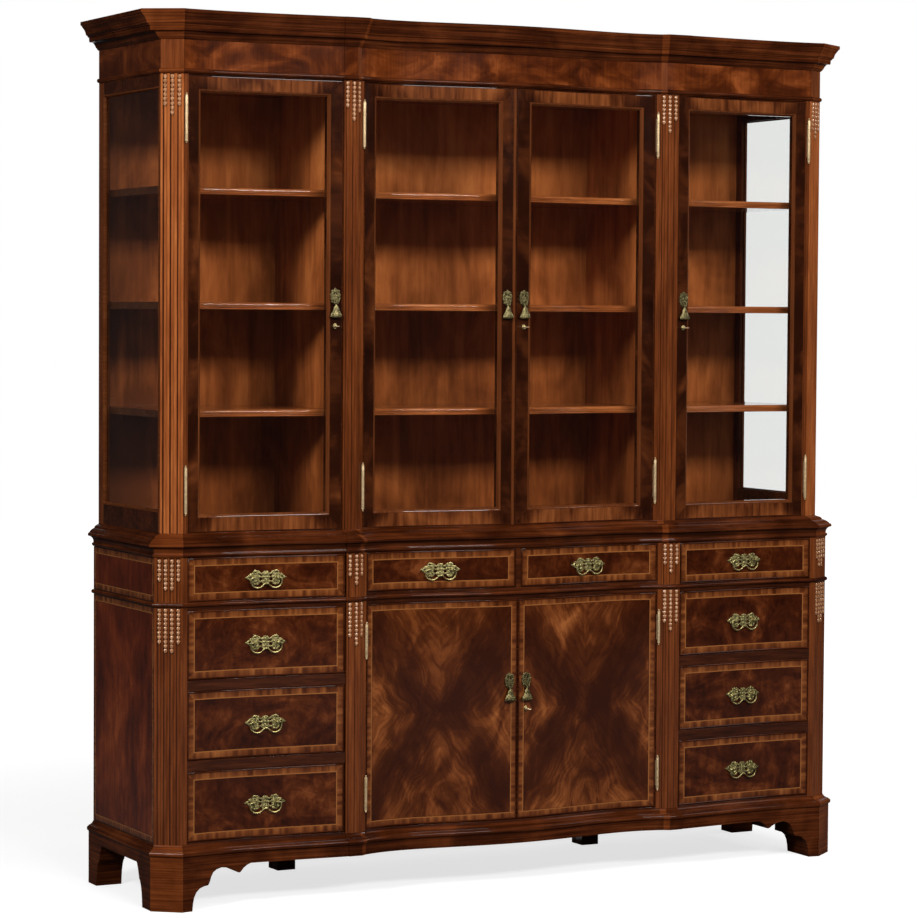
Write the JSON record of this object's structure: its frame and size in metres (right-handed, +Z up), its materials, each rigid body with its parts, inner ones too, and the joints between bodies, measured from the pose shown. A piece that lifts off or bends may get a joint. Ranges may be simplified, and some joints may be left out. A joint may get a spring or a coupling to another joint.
{
  "type": "china cabinet",
  "caption": "Serpentine-front china cabinet: a glazed display case with fluted pilasters and a stepped cornice, on a base of drawers and cupboard doors with bracket feet.",
  "frame": {"origin": "The middle of the cabinet on the floor: the centre of its bounding box, at its lowest point.", "axes": "+Z is up, +X is to the right of a person facing the front, and the front faces -Y."},
  "size_m": [2.163, 0.536, 2.34],
  "materials": {
    "dark_mahogany": "dark figured mahogany veneer with light stringing and crossbanding under a glossy lacquer",
    "red_mahogany": "plain red mahogany, glossy lacquer",
    "panel_wood": "plain lacquered panel, satin",
    "antique_brass": "cast brass, darkened by age",
    "glass": "clear polished"
  },
  "bodies": {
    "case": {"plinth": "dark_mahogany", "lower_case": "red_mahogany", "lower_back": "panel_wood", "base_top": "dark_mahogany", "upper_case": "red_mahogany", "upper_back": "panel_wood", "cornice": "dark_mahogany", "side_pane_left": "glass", "side_pane_right": "glass", "shelf_left_1": "red_mahogany", "shelf_left_2": "red_mahogany", "shelf_left_3": "red_mahogany", "shelf_centre_1": "red_mahogany", "shelf_centre_2": "red_mahogany", "shelf_centre_3": "red_mahogany", "shelf_right_1": "red_mahogany", "shelf_right_2": "red_mahogany", "shelf_right_3": "red_mahogany", "lower_shelf": "panel_wood"},
    "drawer_left_1": {"drawer_left_1": "dark_mahogany"},
    "drawer_right_1": {"drawer_right_1": "dark_mahogany"},
    "drawer_left_2": {"drawer_left_2": "dark_mahogany"},
    "drawer_right_2": {"drawer_right_2": "dark_mahogany"},
    "drawer_left_3": {"drawer_left_3": "dark_mahogany"},
    "drawer_right_3": {"drawer_right_3": "dark_mahogany"},
    "drawer_left_4": {"drawer_left_4": "dark_mahogany"},
    "drawer_right_4": {"drawer_right_4": "dark_mahogany"},
    "drawer_centre_left": {"drawer_centre_left": "dark_mahogany"},
    "drawer_centre_right": {"drawer_centre_right": "dark_mahogany"},
    "bail_left_1": {"bail_left_1": "antique_brass"},
    "bail_right_1": {"bail_right_1": "antique_brass"},
    "bail_left_2": {"bail_left_2": "antique_brass"},
    "bail_right_2": {"bail_right_2": "antique_brass"},
    "bail_left_3": {"bail_left_3": "antique_brass"},
    "bail_right_3": {"bail_right_3": "antique_brass"},
    "bail_left_4": {"bail_left_4": "antique_brass"},
    "bail_right_4": {"bail_right_4": "antique_brass"},
    "bail_centre_left": {"bail_centre_left": "antique_brass"},
    "bail_centre_right": {"bail_centre_right": "antique_brass"},
    "door_left_wing": {"door_left_wing": "dark_mahogany", "pane_left_wing": "glass"},
    "drop_left_wing": {"drop_left_wing": "antique_brass"},
    "key_left_wing": {"key_left_wing": "antique_brass"},
    "door_left_centre": {"door_left_centre": "dark_mahogany", "pane_left_centre": "glass"},
    "drop_left_centre": {"drop_left_centre": "antique_brass"},
    "door_right_centre": {"door_right_centre": "dark_mahogany", "pane_right_centre": "glass"},
    "drop_right_centre": {"drop_right_centre": "antique_brass"},
    "key_right_centre": {"key_right_centre": "antique_brass"},
    "door_right_wing": {"door_right_wing": "dark_mahogany", "pane_right_wing": "glass"},
    "drop_right_wing": {"drop_right_wing": "antique_brass"},
    "key_right_wing": {"key_right_wing": "antique_brass"},
    "door_lower_left": {"door_lower_left": "dark_mahogany"},
    "drop_lower_left": {"drop_lower_left": "antique_brass"},
    "door_lower_right": {"door_lower_right": "dark_mahogany"},
    "drop_lower_right": {"drop_lower_right": "antique_brass"},
    "key_lower_right": {"key_lower_right": "antique_brass"}
  },
  "joints": [
    {"name": "slide_drawer_left_1", "type": "slide", "parent": "case", "child": "drawer_left_1", "axis": [0, -1, 0], "range_m": [0, 0.35]},
    {"name": "slide_drawer_right_1", "type": "slide", "parent": "case", "child": "drawer_right_1", "axis": [0, -1, 0], "range_m": [0, 0.35]},
    {"name": "slide_drawer_left_2", "type": "slide", "parent": "case", "child": "drawer_left_2", "axis": [0, -1, 0], "range_m": [0, 0.35]},
    {"name": "slide_drawer_right_2", "type": "slide", "parent": "case", "child": "drawer_right_2", "axis": [0, -1, 0], "range_m": [0, 0.35]},
    {"name": "slide_drawer_left_3", "type": "slide", "parent": "case", "child": "drawer_left_3", "axis": [0, -1, 0], "range_m": [0, 0.35]},
    {"name": "slide_drawer_right_3", "type": "slide", "parent": "case", "child": "drawer_right_3", "axis": [0, -1, 0], "range_m": [0, 0.35]},
    {"name": "slide_drawer_left_4", "type": "slide", "parent": "case", "child": "drawer_left_4", "axis": [0, -1, 0], "range_m": [0, 0.35]},
    {"name": "slide_drawer_right_4", "type": "slide", "parent": "case", "child": "drawer_right_4", "axis": [0, -1, 0], "range_m": [0, 0.35]},
    {"name": "slide_drawer_centre_left", "type": "slide", "parent": "case", "child": "drawer_centre_left", "axis": [0, -1, 0], "range_m": [0, 0.35]},
    {"name": "slide_drawer_centre_right", "type": "slide", "parent": "case", "child": "drawer_centre_right", "axis": [0, -1, 0], "range_m": [0, 0.35]},
    {"name": "swing_bail_left_1", "type": "hinge", "parent": "drawer_left_1", "child": "bail_left_1", "pos_m": [-0.74455, -0.22378, 0.269], "axis": [-0.9979, 0.0642, 0], "range_deg": [0, 85]},
    {"name": "swing_bail_right_1", "type": "hinge", "parent": "drawer_right_1", "child": "bail_right_1", "pos_m": [0.74455, -0.22378, 0.269], "axis": [-0.9979, -0.0642, 0], "range_deg": [0, 85]},
    {"name": "swing_bail_left_2", "type": "hinge", "parent": "drawer_left_2", "child": "bail_left_2", "pos_m": [-0.74455, -0.22378, 0.4815], "axis": [-0.9979, 0.0642, 0], "range_deg": [0, 85]},
    {"name": "swing_bail_right_2", "type": "hinge", "parent": "drawer_right_2", "child": "bail_right_2", "pos_m": [0.74455, -0.22378, 0.4815], "axis": [-0.9979, -0.0642, 0], "range_deg": [0, 85]},
    {"name": "swing_bail_left_3", "type": "hinge", "parent": "drawer_left_3", "child": "bail_left_3", "pos_m": [-0.74455, -0.22378, 0.6925], "axis": [-0.9979, 0.0642, 0], "range_deg": [0, 85]},
    {"name": "swing_bail_right_3", "type": "hinge", "parent": "drawer_right_3", "child": "bail_right_3", "pos_m": [0.74455, -0.22378, 0.6925], "axis": [-0.9979, -0.0642, 0], "range_deg": [0, 85]},
    {"name": "swing_bail_left_4", "type": "hinge", "parent": "drawer_left_4", "child": "bail_left_4", "pos_m": [-0.74455, -0.22378, 0.864], "axis": [-0.9979, 0.0642, 0], "range_deg": [0, 85]},
    {"name": "swing_bail_right_4", "type": "hinge", "parent": "drawer_right_4", "child": "bail_right_4", "pos_m": [0.74455, -0.22378, 0.864], "axis": [-0.9979, -0.0642, 0], "range_deg": [0, 85]},
    {"name": "swing_bail_centre_left", "type": "hinge", "parent": "drawer_centre_left", "child": "bail_centre_left", "pos_m": [-0.23137, -0.22671, 0.868], "axis": [-0.9913, 0.1313, 0], "range_deg": [0, 85]},
    {"name": "swing_bail_centre_right", "type": "hinge", "parent": "drawer_centre_right", "child": "bail_centre_right", "pos_m": [0.23137, -0.22671, 0.868], "axis": [-0.9913, -0.1313, 0], "range_deg": [0, 85]},
    {"name": "hinge_door_left_wing", "type": "hinge", "parent": "case", "child": "door_left_wing", "pos_m": [-0.963, -0.19527, 1.579], "axis": [0, 0, -1], "range_deg": [0, 110]},
    {"name": "swing_drop_left_wing", "type": "hinge", "parent": "door_left_wing", "child": "drop_left_wing", "pos_m": [-0.54119, -0.21199, 1.58644], "axis": [-0.9963, 0.0856, 0], "range_deg": [0, 75]},
    {"name": "turn_key_left_wing", "type": "hinge", "parent": "door_left_wing", "child": "key_left_wing", "pos_m": [-0.5405, -0.20402, 1.525], "axis": [-0.0856, -0.9963, 0], "range_deg": [0, 180]},
    {"name": "hinge_door_left_centre", "type": "hinge", "parent": "case", "child": "door_left_centre", "pos_m": [-0.455, -0.20161, 1.579], "axis": [0, 0, -1], "range_deg": [0, 95]},
    {"name": "swing_drop_left_centre", "type": "hinge", "parent": "door_left_centre", "child": "drop_left_centre", "pos_m": [-0.02638, -0.21825, 1.58644], "axis": [-0.9989, 0.0477, 0], "range_deg": [0, 75]},
    {"name": "hinge_door_right_centre", "type": "hinge", "parent": "case", "child": "door_right_centre", "pos_m": [0.455, -0.20161, 1.579], "axis": [0, 0, 1], "range_deg": [0, 95]},
    {"name": "swing_drop_right_centre", "type": "hinge", "parent": "door_right_centre", "child": "drop_right_centre", "pos_m": [0.02638, -0.21825, 1.58644], "axis": [-0.9989, -0.0477, 0], "range_deg": [0, 75]},
    {"name": "turn_key_right_centre", "type": "hinge", "parent": "door_right_centre", "child": "key_right_centre", "pos_m": [0.026, -0.21026, 1.525], "axis": [0.0477, -0.9989, 0], "range_deg": [0, 180]},
    {"name": "hinge_door_right_wing", "type": "hinge", "parent": "case", "child": "door_right_wing", "pos_m": [0.963, -0.19527, 1.579], "axis": [0, 0, 1], "range_deg": [0, 110]},
    {"name": "swing_drop_right_wing", "type": "hinge", "parent": "door_right_wing", "child": "drop_right_wing", "pos_m": [0.54119, -0.21199, 1.58644], "axis": [-0.9963, -0.0856, 0], "range_deg": [0, 75]},
    {"name": "turn_key_right_wing", "type": "hinge", "parent": "door_right_wing", "child": "key_right_wing", "pos_m": [0.5405, -0.20402, 1.525], "axis": [0.0856, -0.9963, 0], "range_deg": [0, 180]},
    {"name": "hinge_door_lower_left", "type": "hinge", "parent": "case", "child": "door_lower_left", "pos_m": [-0.455, -0.22961, 0.4795], "axis": [0, 0, -1], "range_deg": [0, 95]},
    {"name": "swing_drop_lower_left", "type": "hinge", "parent": "door_lower_left", "child": "drop_lower_left", "pos_m": [-0.02638, -0.24625, 0.54144], "axis": [-0.9989, 0.0477, 0], "range_deg": [0, 75]},
    {"name": "hinge_door_lower_right", "type": "hinge", "parent": "case", "child": "door_lower_right", "pos_m": [0.455, -0.22961, 0.4795], "axis": [0, 0, 1], "range_deg": [0, 95]},
    {"name": "swing_drop_lower_right", "type": "hinge", "parent": "door_lower_right", "child": "drop_lower_right", "pos_m": [0.02638, -0.24625, 0.54144], "axis": [-0.9989, -0.0477, 0], "range_deg": [0, 75]},
    {"name": "turn_key_lower_right", "type": "hinge", "parent": "door_lower_right", "child": "key_lower_right", "pos_m": [0.026, -0.23826, 0.48], "axis": [0.0477, -0.9989, 0], "range_deg": [0, 180]}
  ]
}
